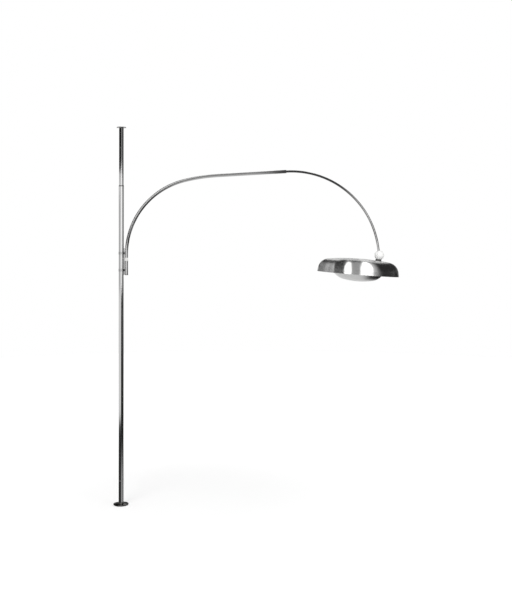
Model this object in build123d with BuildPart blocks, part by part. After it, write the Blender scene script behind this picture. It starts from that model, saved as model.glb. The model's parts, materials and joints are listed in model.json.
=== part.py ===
from build123d import *
from math import asin, atan2, cos, degrees, radians, sin, sqrt, tan
import os

os.makedirs("parts", exist_ok=True)

# Frame: millimetres, +Z up, origin on the floor under the pole, the arm reaching towards +X, the front at -Y.

# Pole, wedged between floor and ceiling
CEILING = 2600.0
POLE_D = 35.0
POLE_BORE = 32.0
FOOT_SEAM = 166.0
POLE_SEAM = 1487.0
POLE_MOUTH = 2192.0
SEAM_GAP = 2.0
SEAM_RING_D = 34.0
SPIGOT_REACH = 55.0
SPIGOT_WALL = 3.0

# Foot
PAD_D = 98.0
PAD_T = 3.0
FOOT_D = 104.0
FOOT_EDGE = 4.0
FOOT_ROUND = 1.5
FOOT_TOP = 10.0
FOOT_SEAT_D = 46.0
FERRULE_D = 43.0
FERRULE_H = 9.0
FERRULE_LIP = 0.8
FERRULE_FLARE_R = 9.0
FOOT_PLUG_H = 26.0
FOOT_SCREW_D = 8.0
FOOT_SCREW_HEAD_D = 16.0
COUNTERSINK = 90.0

# Sprung top section and its spring
TOP_TUBE_D = 31.0
TOP_TUBE_BORE = 28.0
TOP_TUBE_END = 2040.0
BUSH_BORE = TOP_TUBE_D + 0.1
BUSH_FLANGE = 6.0
STOP_GAP = 0.3
LOCK_ANGLE = -110.0
LOCK_D = 3.0
LOCK_TIP_GAP = 0.4
LOCK_HEAD_D = 5.6
LOCK_HEAD_H = 3.0
LOCK_SOCKET_R = 1.6
FLANGE_D = 66.0
FLANGE_T = 5.0
FLANGE_STEP = 1.0
CEILING_PAD_D = 62.0
CEILING_PAD_T = 3.0
PLUG_REACH = 30.0
PLUNGER_D = 31.5
PLUNGER_T = 12.0
SPRING_D = 26.0
SPRING_WIRE = 3.2
SPRING_SEAT_TOP = 1870.0
SPRING_SEAT_T = 20.0
LOCATOR_D = 18.0
LOCATOR_H = 10.0

# Arm bracket
ARM_X = 36.0
SOCKET_D = 23.0
SOCKET_BORE = 20.0
SOCKET_BOTTOM = 1584.0
SOCKET_TOP = 1679.0
WEB_T = 8.0
WEB_TOP = 1768.0
WEB_LEFT = 17.8
WEB_RIGHT = 23.5
WEB_ROUND = 4.0
BAND_BORE = 35.2
BAND_T = 1.2
BAND_H = 19.0
BAND_HEIGHTS = (1615.0, 1732.0)
EAR_REACH = 24.0
SCREW_X = 21.2
SCREW_D = 4.0
SCREW_HEAD_D = 7.0
SCREW_HEAD_H = 4.0
SCREW_SOCKET_R = 2.0
CLAMP_PAD_T = 2.0
CLAMP_PAD_H = 16.0
CLAMP_PAD_LEFT = 18.3
CLAMP_PAD_ROUND = 1.5
NUT_T = 4.0
NUT_R = 4.0
BUSH_LINER_D = 18.0
BUSH_COLLAR_D = 22.5
LINER_BOTTOM = 1600.0
SWIVEL_GAP = 0.3
GROMMET_HOLE = 10.0
GROMMET_FLANGE = 3.0
GROMMET_PLUG = 6.0

# Arm tubes
OUTER_D = 22.0
OUTER_BORE = 19.0
INNER_D = 16.0
INNER_BORE = 13.0
ARM_BOTTOM = 1701.0
BEND_START = 1726.0
LOWER_BEND_R = 521.0
LOWER_BEND_TURN = 75.7
UPPER_BEND_R = 1240.0
ARM_RISE = 3.4
ARM_STRAIGHT = 473.0
SPIGOT_D = 17.9
SPIGOT_BORE = 12.0
SPIGOT_BOTTOM = 1592.0
ARM_FERRULE_D = 23.6
ARM_FERRULE_L = 80.0
ARM_FERRULE_LIP = 3.0
LIP_GAP = 0.4
LIP_CHAMFER = 1.0
SLIDE_BUSH_L = 60.0
SLIDE_FIT = 0.1
INNER_INSIDE = 430.0
INNER_LEAD = 4.0
INNER_BEND_R = 602.0
INNER_BEND_TURN = 85.5
INNER_DROP = 58.0
GLIDE_D = 18.4
GLIDE_L = 14.0
GLIDE_BORE = 9.0

# Ball joint
BALL_R = 33.0
BALL_BORE_R = 29.0
BOSS_R = 10.0
BOSS_FACE = 8.2
RECESS_R = 8.0
RECESS_FLOOR = 24.0
PIVOT_D = 8.0
PIVOT_FIT = 0.1
PIVOT_HEAD_R = 7.5
PIVOT_HEAD_T = 5.5
PIVOT_NUT_T = 6.0
CAP_FLOOR = 30.2
WASHER_FACE = 7.1
EYE_R = 11.0
EYE_HALF = 7.0
EYE_START = 14.0
EYE_PLUG_L = 26.0
SLOT_HALF = 8.6
SLOT_SWING = 42.5
SLOT_INNER_R = 20.0
SLOT_OUTER_R = 45.0
STEM_D = 10.0
STEM_BORE = 7.0
STEM_CLEARANCE = 0.3
STEM_HEAD_R = 9.0
STEM_HEAD_T = 5.0
STEM_TAIL = 4.0

# Shade, a spun dome whose axis leans towards +X
SHADE_TILT = 4.2
SHADE_WALL = 1.2
RIM_R = 281.5
HEM_R = 1.8
WALL_TOP = (277.5, 26.0)
CROWN_EDGE_R = 209.0
CROWN_H = 106.5
CROWN_R = 1640.0
SEAT_OFFSET = 134.0
BALL_LIFT = 38.5
COLLAR_R = 20.5
COLLAR_LIP = 28.5
CUP_GAP = 0.3
SEAT_PLATE_R = 22.0
SEAT_PLATE_T = 2.5
STEM_WASHER_R = 11.0
STEM_WASHER_T = 1.5
STEM_NUT_R = 9.8
STEM_NUT_T = 7.0

# Lamps and reflector bowl under the shade
HUB_APOTHEM = 30.0
HUB_BOTTOM = 44.0
HUB_TOP = 88.0
HUB_NECK_R = 14.0
LAMP_ANGLES = (60, 180, 300)
LAMP_H = 66.0
HOLDER_R = 19.5
HOLDER_L = 34.0
HOLDER_BORE_R = 13.3
HOLDER_FLOOR = 8.0
CAP_R = 13.0
CAP_END = 32.0
BULB_NECK_R = 12.0
BULB_R = 23.0
BULB_CENTRE = 59.0
BOWL_WALL = 1.2
BOWL_DEPTH = 51.0
BOWL_FLAT = (100.0, -41.0)
BOWL_EDGE = (168.0, 3.0)
BEAD = (169.5, 5.0)
BEAD_R = 3.0
CLIP_ANGLES = (0, 120, 240)
CLIP_T = 1.5
CLIP_R = 176.0
CLIP_TAB_R = 158.0
CLIP_HOOK_R = 168.6
CLIP_SPREAD = 4.0


def tube_between(bottom, top, outer, bore):
    """A tube on the pole axis between two heights."""
    with BuildPart() as tube:
        with BuildSketch(Plane.XY.offset(bottom)):
            Circle(outer / 2)
            Circle(bore / 2, mode=Mode.SUBTRACT)
        extrude(amount=top - bottom)
    return tube


def disc_between(bottom, top, diameter):
    """A plain disc on the pole axis between two heights."""
    with BuildPart() as disc:
        with BuildSketch(Plane.XY.offset(bottom)):
            Circle(diameter / 2)
        extrude(amount=top - bottom)
    return disc


def turned(outline, plane=Plane.XZ, axis=Axis.Z):
    """A turned solid: a closed outline of radius and height on the plane, revolved about the axis."""
    with BuildPart() as piece:
        with BuildSketch(plane):
            with BuildLine():
                Polyline(*outline, close=True)
            make_face()
        revolve(axis=axis)
    return piece


def seam_spigot(height):
    """A sleeve inside two pole sections, with a ring that shows in the seam between their ends."""
    bore = POLE_BORE / 2 - SPIGOT_WALL
    low, high = height - SPIGOT_REACH, height + SPIGOT_REACH
    ring_low, ring_high = height - SEAM_GAP / 2, height + SEAM_GAP / 2
    return turned(
        [
            (bore, low),
            (POLE_BORE / 2, low),
            (POLE_BORE / 2, ring_low),
            (SEAM_RING_D / 2, ring_low),
            (SEAM_RING_D / 2, ring_high),
            (POLE_BORE / 2, ring_high),
            (POLE_BORE / 2, high),
            (bore, high),
        ]
    )


# Foot: rubber pad, chromed disc, flared ferrule round the stem, plug and countersunk screw
floor_pad = disc_between(0, PAD_T, PAD_D)
with BuildPart() as foot_disc:
    with BuildSketch(Plane.XZ):
        with BuildLine():
            Polyline(
                (0, PAD_T),
                (FOOT_D / 2, PAD_T),
                (FOOT_D / 2, PAD_T + FOOT_EDGE),
                (FOOT_SEAT_D / 2, FOOT_TOP),
                (0, FOOT_TOP),
                close=True,
            )
        make_face()
    revolve(axis=Axis.Z)
    outer_rings = foot_disc.edges().filter_by(GeomType.CIRCLE).group_by(SortBy.RADIUS)[-1]
    fillet(outer_rings.sort_by(Axis.Z)[-1], FOOT_ROUND)
    with Locations(Plane.XY.offset(PAD_T).rotated((180, 0, 0))):
        CounterSinkHole(FOOT_SCREW_D / 2, FOOT_SCREW_HEAD_D / 2, depth=FOOT_TOP)

with BuildPart() as foot_ferrule:
    with BuildSketch(Plane.XZ):
        with BuildLine():
            base = Line((POLE_D / 2, FOOT_TOP), (FERRULE_D / 2, FOOT_TOP))
            flare = RadiusArc(base @ 1, (POLE_D / 2 + FERRULE_LIP, FOOT_TOP + FERRULE_H), FERRULE_FLARE_R)
            Polyline(flare @ 1, (POLE_D / 2, FOOT_TOP + FERRULE_H), base @ 0)
        make_face()
    revolve(axis=Axis.Z)

foot_plug = tube_between(FOOT_TOP, FOOT_TOP + FOOT_PLUG_H, POLE_BORE, FOOT_SCREW_D)
with BuildPart() as foot_screw:
    with BuildSketch(Plane.XZ):
        with BuildLine():
            head_drop = (FOOT_SCREW_HEAD_D - FOOT_SCREW_D) / 2 / tan(radians(COUNTERSINK / 2))
            Polyline(
                (0, PAD_T),
                (FOOT_SCREW_HEAD_D / 2, PAD_T),
                (FOOT_SCREW_D / 2, PAD_T + head_drop),
                (FOOT_SCREW_D / 2, FOOT_TOP + FOOT_PLUG_H),
                (0, FOOT_TOP + FOOT_PLUG_H),
                close=True,
            )
        make_face()
    revolve(axis=Axis.Z)

# Pole: three tubes of one diameter, joined by sleeves
foot_stem = tube_between(FOOT_TOP, FOOT_SEAM - SEAM_GAP / 2, POLE_D, POLE_BORE)
foot_spigot = seam_spigot(FOOT_SEAM)
lower_pole = tube_between(FOOT_SEAM + SEAM_GAP / 2, POLE_SEAM - SEAM_GAP / 2, POLE_D, POLE_BORE)
pole_coupler = seam_spigot(POLE_SEAM)
upper_pole = tube_between(POLE_SEAM + SEAM_GAP / 2, POLE_MOUTH, POLE_D, POLE_BORE)

# Guide bush in the mouth of the pole: a thin liner under a dark flange that carries the lock screw
bush_top = POLE_MOUTH + BUSH_FLANGE
lock_height = POLE_MOUTH + BUSH_FLANGE / 2
lock_seat = Plane(
    origin=(POLE_D / 2 * cos(radians(LOCK_ANGLE)), POLE_D / 2 * sin(radians(LOCK_ANGLE)), lock_height),
    z_dir=(cos(radians(LOCK_ANGLE)), sin(radians(LOCK_ANGLE)), 0),
)
with BuildPart() as guide_bush:
    with BuildSketch(Plane.XZ):
        with BuildLine():
            Polyline(
                (BUSH_BORE / 2, TOP_TUBE_END + STOP_GAP),
                (POLE_BORE / 2, TOP_TUBE_END + STOP_GAP),
                (POLE_BORE / 2, POLE_MOUTH),
                (POLE_D / 2, POLE_MOUTH),
                (POLE_D / 2, bush_top),
                (BUSH_BORE / 2, bush_top),
                close=True,
            )
        make_face()
    revolve(axis=Axis.Z)
    with BuildSketch(lock_seat):
        Circle(LOCK_D / 2)
    extrude(amount=-POLE_D / 4, mode=Mode.SUBTRACT)

with BuildPart() as lock_screw:
    with BuildSketch(lock_seat):
        Circle(LOCK_D / 2)
    extrude(amount=LOCK_TIP_GAP - (POLE_D - BUSH_BORE) / 2)
    with BuildSketch(lock_seat):
        Circle(LOCK_HEAD_D / 2)
    extrude(amount=LOCK_HEAD_H)
    with BuildSketch(lock_seat.offset(LOCK_HEAD_H)):
        RegularPolygon(LOCK_SOCKET_R, 6)
    extrude(amount=-LOCK_HEAD_H / 2, mode=Mode.SUBTRACT)

# Tension spring between a seat fixed in the pole and the plunger of the top tube
plunger_low = TOP_TUBE_END - PLUNGER_T
spring_seat = turned(
    [
        (0, SPRING_SEAT_TOP - SPRING_SEAT_T),
        (POLE_BORE / 2, SPRING_SEAT_TOP - SPRING_SEAT_T),
        (POLE_BORE / 2, SPRING_SEAT_TOP),
        (LOCATOR_D / 2, SPRING_SEAT_TOP),
        (LOCATOR_D / 2, SPRING_SEAT_TOP + LOCATOR_H),
        (0, SPRING_SEAT_TOP + LOCATOR_H),
    ]
)
tension_spring = tube_between(SPRING_SEAT_TOP, plunger_low, SPRING_D, SPRING_D - 2 * SPRING_WIRE)

# Sprung top section: tube, plunger, ceiling flange with its hub, rubber ceiling pad
flange_low = CEILING - CEILING_PAD_T - FLANGE_T
ceiling_tube = tube_between(TOP_TUBE_END, flange_low, TOP_TUBE_D, TOP_TUBE_BORE)
spring_plunger = turned(
    [
        (0, plunger_low - LOCATOR_H),
        (LOCATOR_D / 2, plunger_low - LOCATOR_H),
        (LOCATOR_D / 2, plunger_low),
        (PLUNGER_D / 2, plunger_low),
        (PLUNGER_D / 2, TOP_TUBE_END),
        (TOP_TUBE_BORE / 2, TOP_TUBE_END),
        (TOP_TUBE_BORE / 2, TOP_TUBE_END + PLUG_REACH),
        (0, TOP_TUBE_END + PLUG_REACH),
    ]
)
with BuildPart() as ceiling_flange:
    with BuildSketch(Plane.XZ):
        with BuildLine():
            Polyline(
                (0, flange_low - PLUG_REACH),
                (TOP_TUBE_BORE / 2, flange_low - PLUG_REACH),
                (TOP_TUBE_BORE / 2, flange_low),
                (TOP_TUBE_D / 2 + FLANGE_STEP, flange_low),
                (FLANGE_D / 2, flange_low + FLANGE_T / 2),
                (FLANGE_D / 2, flange_low + FLANGE_T),
                (0, flange_low + FLANGE_T),
                close=True,
            )
        make_face()
    revolve(axis=Axis.Z)
ceiling_pad = disc_between(flange_low + FLANGE_T, CEILING, CEILING_PAD_D)

# Arm bracket: a socket tube brazed to a web plate that two bands pull against the pole
arm_axis = Axis((ARM_X, 0, 0), (0, 0, 1))
arm_section = Plane(origin=(ARM_X, 0, 0), x_dir=(1, 0, 0), z_dir=(0, -1, 0))
with BuildPart() as arm_socket:
    with BuildSketch(Plane.XZ) as web_outline:
        with BuildLine():
            Polyline(
                (WEB_LEFT, SOCKET_BOTTOM),
                (ARM_X, SOCKET_BOTTOM),
                (ARM_X, SOCKET_TOP),
                (WEB_RIGHT, SOCKET_TOP),
                (WEB_RIGHT, WEB_TOP),
                (WEB_LEFT, WEB_TOP),
                close=True,
            )
        make_face()
        fillet(web_outline.vertices().group_by(Axis.Y)[-1].sort_by(Axis.X)[-1], WEB_ROUND)
    extrude(amount=WEB_T / 2, both=True)
    with BuildSketch(Plane.XY.offset(SOCKET_BOTTOM)):
        with Locations((ARM_X, 0)):
            Circle(SOCKET_D / 2)
    extrude(amount=SOCKET_TOP - SOCKET_BOTTOM)
    with BuildSketch(Plane.XY.offset(SOCKET_BOTTOM)):
        with Locations((ARM_X, 0)):
            Circle(SOCKET_BORE / 2)
    extrude(amount=SOCKET_TOP - SOCKET_BOTTOM, mode=Mode.SUBTRACT)
    with BuildSketch(Plane.XZ):
        with Locations(*[(SCREW_X, height) for height in BAND_HEIGHTS]):
            Circle(SCREW_D / 2)
    extrude(amount=WEB_T, both=True, mode=Mode.SUBTRACT)


def clamp_band(height):
    """A thin band round the pole whose two ears lie flat on the web plate."""
    outer = BAND_BORE / 2 + BAND_T
    with BuildPart() as band:
        with BuildSketch(Plane.XY.offset(height - BAND_H / 2)):
            Circle(outer)
            with Locations((EAR_REACH / 2, 0)):
                Rectangle(EAR_REACH, WEB_T + 2 * BAND_T)
            Circle(BAND_BORE / 2, mode=Mode.SUBTRACT)
            with Locations((EAR_REACH / 2, 0)):
                Rectangle(EAR_REACH, WEB_T, mode=Mode.SUBTRACT)
        extrude(amount=BAND_H)
        with BuildSketch(Plane.XZ):
            with Locations((SCREW_X, height)):
                Circle(SCREW_D / 2)
        extrude(amount=WEB_T, both=True, mode=Mode.SUBTRACT)
    return band


lower_clamp_band = clamp_band(BAND_HEIGHTS[0])
upper_clamp_band = clamp_band(BAND_HEIGHTS[1])
ear_face = WEB_T / 2 + BAND_T
pad_face = ear_face + CLAMP_PAD_T
screw_spots = [(SCREW_X, height) for height in BAND_HEIGHTS]
with BuildPart() as clamp_pads:
    with BuildSketch(Plane.XZ.offset(ear_face), Plane.XZ.offset(-pad_face)):
        with Locations(*[((CLAMP_PAD_LEFT + EAR_REACH) / 2, height) for height in BAND_HEIGHTS]):
            RectangleRounded(EAR_REACH - CLAMP_PAD_LEFT, CLAMP_PAD_H, CLAMP_PAD_ROUND)
        with Locations(*screw_spots):
            Circle(SCREW_D / 2, mode=Mode.SUBTRACT)
    extrude(amount=CLAMP_PAD_T)

with BuildPart() as clamp_screws:
    with BuildSketch(Plane.XZ.offset(pad_face)):
        with Locations(*screw_spots):
            Circle(SCREW_HEAD_D / 2)
    extrude(amount=SCREW_HEAD_H)
    with BuildSketch(Plane.XZ.offset(pad_face)):
        with Locations(*screw_spots):
            Circle(SCREW_D / 2)
    extrude(amount=-(2 * pad_face + NUT_T))
    with BuildSketch(Plane.XZ.offset(pad_face + SCREW_HEAD_H)):
        with Locations(*screw_spots):
            RegularPolygon(SCREW_SOCKET_R, 6)
    extrude(amount=-SCREW_HEAD_H / 2, mode=Mode.SUBTRACT)

with BuildPart() as clamp_nuts:
    with BuildSketch(Plane.XZ.offset(-pad_face)):
        with Locations(*screw_spots):
            RegularPolygon(NUT_R, 6, rotation=30)
            Circle(SCREW_D / 2, mode=Mode.SUBTRACT)
    extrude(amount=-NUT_T)

# White swivel bush: a liner in the socket under a tall collar that the arm stands on
swivel_bush = turned(
    [
        (BUSH_LINER_D / 2, LINER_BOTTOM),
        (SOCKET_BORE / 2, LINER_BOTTOM),
        (SOCKET_BORE / 2, SOCKET_TOP),
        (BUSH_COLLAR_D / 2, SOCKET_TOP),
        (BUSH_COLLAR_D / 2, ARM_BOTTOM - SWIVEL_GAP),
        (BUSH_LINER_D / 2, ARM_BOTTOM - SWIVEL_GAP),
    ],
    arm_section,
    arm_axis,
)

# Grommet in the bottom of the socket, where a lead would enter
cord_grommet = turned(
    [
        (GROMMET_HOLE / 2, SOCKET_BOTTOM - GROMMET_FLANGE),
        (SOCKET_D / 2, SOCKET_BOTTOM - GROMMET_FLANGE),
        (SOCKET_D / 2, SOCKET_BOTTOM),
        (SOCKET_BORE / 2, SOCKET_BOTTOM),
        (SOCKET_BORE / 2, SOCKET_BOTTOM + GROMMET_PLUG),
        (GROMMET_HOLE / 2, SOCKET_BOTTOM + GROMMET_PLUG),
    ],
    arm_section,
    arm_axis,
)

# Outer arm: one bent tube from the bush, over two tangent bends, to a straight run that rises slightly
upper_turn = 90 - LOWER_BEND_TURN - ARM_RISE
with BuildPart() as outer_arm:
    with BuildLine(Plane.XZ) as outer_route:
        leg = Line((ARM_X, ARM_BOTTOM), (ARM_X, BEND_START))
        lower_bend = JernArc(leg @ 1, leg % 1, LOWER_BEND_R, -LOWER_BEND_TURN)
        upper_bend = JernArc(lower_bend @ 1, lower_bend % 1, UPPER_BEND_R, -upper_turn)
        run = Line(upper_bend @ 1, upper_bend @ 1 + (upper_bend % 1) * ARM_STRAIGHT)
    with BuildSketch(Plane(origin=leg @ 0, z_dir=leg % 0)):
        Circle(OUTER_D / 2)
        Circle(OUTER_BORE / 2, mode=Mode.SUBTRACT)
    sweep(path=outer_route.wires()[0])

arm_spigot = turned(
    [
        (SPIGOT_BORE / 2, SPIGOT_BOTTOM),
        (SPIGOT_D / 2, SPIGOT_BOTTOM),
        (SPIGOT_D / 2, ARM_BOTTOM),
        (OUTER_BORE / 2, ARM_BOTTOM),
        (OUTER_BORE / 2, BEND_START),
        (SPIGOT_BORE / 2, BEND_START),
    ],
    arm_section,
    arm_axis,
)

# Mouth of the outer arm: a ferrule with an inward lip over the tube, and the bush that guides the inner arm
slide_dir = run % 1
mouth = Plane(origin=run @ 1, x_dir=(0, 1, 0), z_dir=slide_dir)
slide_bore = INNER_D + 2 * SLIDE_FIT
with BuildPart() as arm_ferrule:
    with BuildSketch(mouth.offset(-ARM_FERRULE_L)):
        Circle(ARM_FERRULE_D / 2)
        Circle(OUTER_D / 2, mode=Mode.SUBTRACT)
    extrude(amount=ARM_FERRULE_L)
    with BuildSketch(mouth):
        Circle(ARM_FERRULE_D / 2)
        Circle(INNER_D / 2 + LIP_GAP, mode=Mode.SUBTRACT)
    extrude(amount=ARM_FERRULE_LIP)
    chamfer(arm_ferrule.faces().sort_by(Axis.X)[-1].outer_wire().edges(), LIP_CHAMFER)

with BuildPart() as slide_bush:
    with BuildSketch(mouth.offset(-SLIDE_BUSH_L)):
        Circle(OUTER_BORE / 2)
        Circle(slide_bore / 2, mode=Mode.SUBTRACT)
    extrude(amount=SLIDE_BUSH_L)

# Inner arm: straight where it telescopes, then one bend down to the ball
with BuildPart() as inner_arm:
    with BuildLine(Plane.XZ) as inner_route:
        straight = Line(run @ 1 - slide_dir * INNER_INSIDE, run @ 1 + slide_dir * INNER_LEAD)
        bend = JernArc(straight @ 1, straight % 1, INNER_BEND_R, -INNER_BEND_TURN)
        drop = Line(bend @ 1, bend @ 1 + (bend % 1) * (INNER_DROP - EYE_START))
    with BuildSketch(Plane(origin=straight @ 0, z_dir=slide_dir)):
        Circle(INNER_D / 2)
        Circle(INNER_BORE / 2, mode=Mode.SUBTRACT)
    sweep(path=inner_route.wires()[0])

with BuildPart() as inner_glide:
    inner_end = Plane(origin=straight @ 0, x_dir=(0, 1, 0), z_dir=slide_dir)
    with BuildSketch(inner_end.offset(-GLIDE_L)):
        Circle(GLIDE_D / 2)
    extrude(amount=GLIDE_L)
    with BuildSketch(inner_end):
        Circle(INNER_BORE / 2)
    extrude(amount=GLIDE_L)
    with BuildSketch(inner_end.offset(-GLIDE_L)):
        Circle(GLIDE_BORE / 2)
    extrude(amount=2 * GLIDE_L, mode=Mode.SUBTRACT)

# Eye on the end of the inner arm, the pivot of the ball
drop_dir = drop % 1
ball_centre = bend @ 1 + drop_dir * INNER_DROP
pivot_plane = Plane(origin=ball_centre, x_dir=(1, 0, 0), z_dir=(0, -1, 0))
pivot_axis = Axis(ball_centre, (0, 1, 0))
tube_end = Plane(origin=drop @ 1, x_dir=(0, 1, 0), z_dir=drop_dir)
with BuildPart() as arm_eye:
    with BuildSketch(pivot_plane):
        Circle(EYE_R)
    extrude(amount=EYE_HALF, both=True)
    with BuildSketch(tube_end.offset(-EYE_PLUG_L)):
        Circle(INNER_BORE / 2)
    extrude(amount=EYE_PLUG_L + EYE_START - PIVOT_D / 2)
    with BuildSketch(pivot_plane):
        Circle(PIVOT_D / 2 + PIVOT_FIT)
    extrude(amount=EYE_HALF, both=True, mode=Mode.SUBTRACT)

# Shade frame: the axis leans by SHADE_TILT, and the ball stands square on the crown at SEAT_OFFSET from it
tilt = radians(SHADE_TILT)
across = Vector(cos(tilt), 0, -sin(tilt))
upward = Vector(sin(tilt), 0, cos(tilt))
seat_lean = asin(SEAT_OFFSET / CROWN_R)
stem_up = across * sin(seat_lean) + upward * cos(seat_lean)
stem_across = across * cos(seat_lean) - upward * sin(seat_lean)
crown_centre = ball_centre - stem_up * (CROWN_R + BALL_LIFT)
rim_centre = crown_centre + upward * (CROWN_R - CROWN_H)
shade_axis = Axis(rim_centre, upward)
shade_plane = Plane(origin=rim_centre, x_dir=across, z_dir=upward)
shade_section = Plane(origin=rim_centre, x_dir=across, z_dir=(0, -1, 0))
stem_axis = Axis(ball_centre, stem_up)
stem_plane = Plane(origin=ball_centre, x_dir=stem_across, z_dir=stem_up)
stem_section = Plane(origin=ball_centre, x_dir=stem_across, z_dir=(0, -1, 0))


def crown_height(radius, depth=0.0):
    """Height above the rim plane of the crown's surface, or of one that lies deeper inside it."""
    return sqrt((CROWN_R - depth) ** 2 - radius**2) + CROWN_H - CROWN_R


def below_ball(radius, depth=0.0):
    """Height from the ball's centre, along the stem, of the crown's surface or of one deeper inside it."""
    return sqrt((CROWN_R - depth) ** 2 - radius**2) - CROWN_R - BALL_LIFT


# Ball: two half shells with inner bosses, clamped on the eye by the pivot bolt, slotted on top for the arm
arm_heading = degrees(atan2(-drop_dir.Z, -drop_dir.X))


def ball_half(side):
    """Half of the hollow ball: a turned shell with a bored boss, the arm's slot and the stem's hole."""
    section = Plane(origin=ball_centre, x_dir=stem_across, z_dir=stem_up * side)
    with BuildPart() as half:
        with BuildSketch(section):
            with BuildLine():
                split_face = Line((BALL_BORE_R, 0), (BALL_R, 0))
                recess_edge = (RECESS_R, sqrt(BALL_R**2 - RECESS_R**2))
                RadiusArc(split_face @ 1, recess_edge, -BALL_R)
                boss_root = (BOSS_R, sqrt(BALL_BORE_R**2 - BOSS_R**2))
                Polyline(
                    recess_edge,
                    (RECESS_R, RECESS_FLOOR),
                    (PIVOT_D / 2, RECESS_FLOOR),
                    (PIVOT_D / 2, BOSS_FACE),
                    (BOSS_R, BOSS_FACE),
                    boss_root,
                )
                RadiusArc(boss_root, split_face @ 0, BALL_BORE_R)
            make_face()
        revolve(axis=pivot_axis)
        with BuildSketch(pivot_plane):
            with BuildLine():
                near = CenterArc((0, 0), SLOT_INNER_R, arm_heading - SLOT_SWING, 2 * SLOT_SWING)
                far = CenterArc((0, 0), SLOT_OUTER_R, arm_heading - SLOT_SWING, 2 * SLOT_SWING)
                Line(near @ 0, far @ 0)
                Line(near @ 1, far @ 1)
            make_face()
        extrude(amount=SLOT_HALF, both=True, mode=Mode.SUBTRACT)
        with BuildSketch(stem_plane.offset(-BALL_LIFT)):
            Circle(STEM_D / 2)
        extrude(amount=BALL_LIFT - BALL_BORE_R + STEM_HEAD_T, mode=Mode.SUBTRACT)
    return half


ball_front = ball_half(-1)
ball_rear = ball_half(1)

with BuildPart() as pivot_bolt:
    with BuildSketch(pivot_plane.offset(RECESS_FLOOR)):
        Circle(PIVOT_HEAD_R)
    extrude(amount=PIVOT_HEAD_T)
    with BuildSketch(pivot_plane.offset(RECESS_FLOOR)):
        Circle(PIVOT_D / 2)
    extrude(amount=-2 * RECESS_FLOOR - PIVOT_NUT_T)

with BuildPart() as pivot_nut:
    with BuildSketch(pivot_plane.offset(-RECESS_FLOOR)):
        RegularPolygon(PIVOT_HEAD_R, 6)
        Circle(PIVOT_D / 2, mode=Mode.SUBTRACT)
    extrude(amount=-PIVOT_NUT_T)

with BuildPart() as friction_washers:
    with BuildSketch(pivot_plane.offset(WASHER_FACE), pivot_plane.offset(-BOSS_FACE)):
        Circle(EYE_R)
        Circle(PIVOT_D / 2, mode=Mode.SUBTRACT)
    extrude(amount=BOSS_FACE - WASHER_FACE)

with BuildPart() as pivot_caps:
    for side in (-1, 1):
        with BuildSketch(Plane(origin=ball_centre, x_dir=stem_across, z_dir=stem_up * side)):
            with BuildLine():
                rim = (RECESS_R, sqrt(BALL_R**2 - RECESS_R**2))
                Polyline((0, BALL_R), (0, CAP_FLOOR), (RECESS_R, CAP_FLOOR), rim)
                RadiusArc(rim, (0, BALL_R), -BALL_R)
            make_face()
    revolve(axis=pivot_axis)

# Swivel stem: a hollow flanged stud that hangs in the ball and carries the shade
plate_low = below_ball(0, SHADE_WALL) - SEAT_PLATE_T
washer_top = plate_low - STEM_CLEARANCE
nut_top = washer_top - STEM_WASHER_T
head_low = -sqrt(BALL_BORE_R**2 - STEM_HEAD_R**2)
stem_hole_r = STEM_D / 2 + STEM_CLEARANCE
swivel_stem = turned(
    [
        (STEM_BORE / 2, head_low + STEM_HEAD_T),
        (STEM_HEAD_R, head_low + STEM_HEAD_T),
        (STEM_HEAD_R, head_low),
        (STEM_D / 2, head_low),
        (STEM_D / 2, nut_top - STEM_NUT_T - STEM_TAIL),
        (STEM_BORE / 2, nut_top - STEM_NUT_T - STEM_TAIL),
    ],
    stem_section,
    stem_axis,
)
with BuildPart() as stem_washer:
    with BuildSketch(stem_plane.offset(washer_top)):
        Circle(STEM_WASHER_R)
        Circle(STEM_D / 2, mode=Mode.SUBTRACT)
    extrude(amount=-STEM_WASHER_T)
with BuildPart() as stem_nut:
    with BuildSketch(stem_plane.offset(nut_top)):
        RegularPolygon(STEM_NUT_R, 6)
        Circle(STEM_D / 2, mode=Mode.SUBTRACT)
    extrude(amount=-STEM_NUT_T)

# Shade dome: crown, shoulder and wall as one spun skin with a rolled hem and a hole for the stem
with BuildPart() as shade_dome:
    with BuildSketch(shade_section):
        with BuildLine():
            crown = RadiusArc((0, CROWN_H), (CROWN_EDGE_R, crown_height(CROWN_EDGE_R)), CROWN_R)
            shoulder = TangentArc(crown @ 1, WALL_TOP, tangent=crown % 1)
            Line(shoulder @ 1, (RIM_R, 0))
            offset(amount=SHADE_WALL, side=Side.RIGHT)
        make_face()
        with Locations((RIM_R - HEM_R, HEM_R)):
            Circle(HEM_R)
    revolve(axis=shade_axis)
    with BuildSketch(stem_plane.offset(-BALL_LIFT - COLLAR_LIP)):
        Circle(stem_hole_r)
    extrude(amount=COLLAR_LIP, mode=Mode.SUBTRACT)

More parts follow.
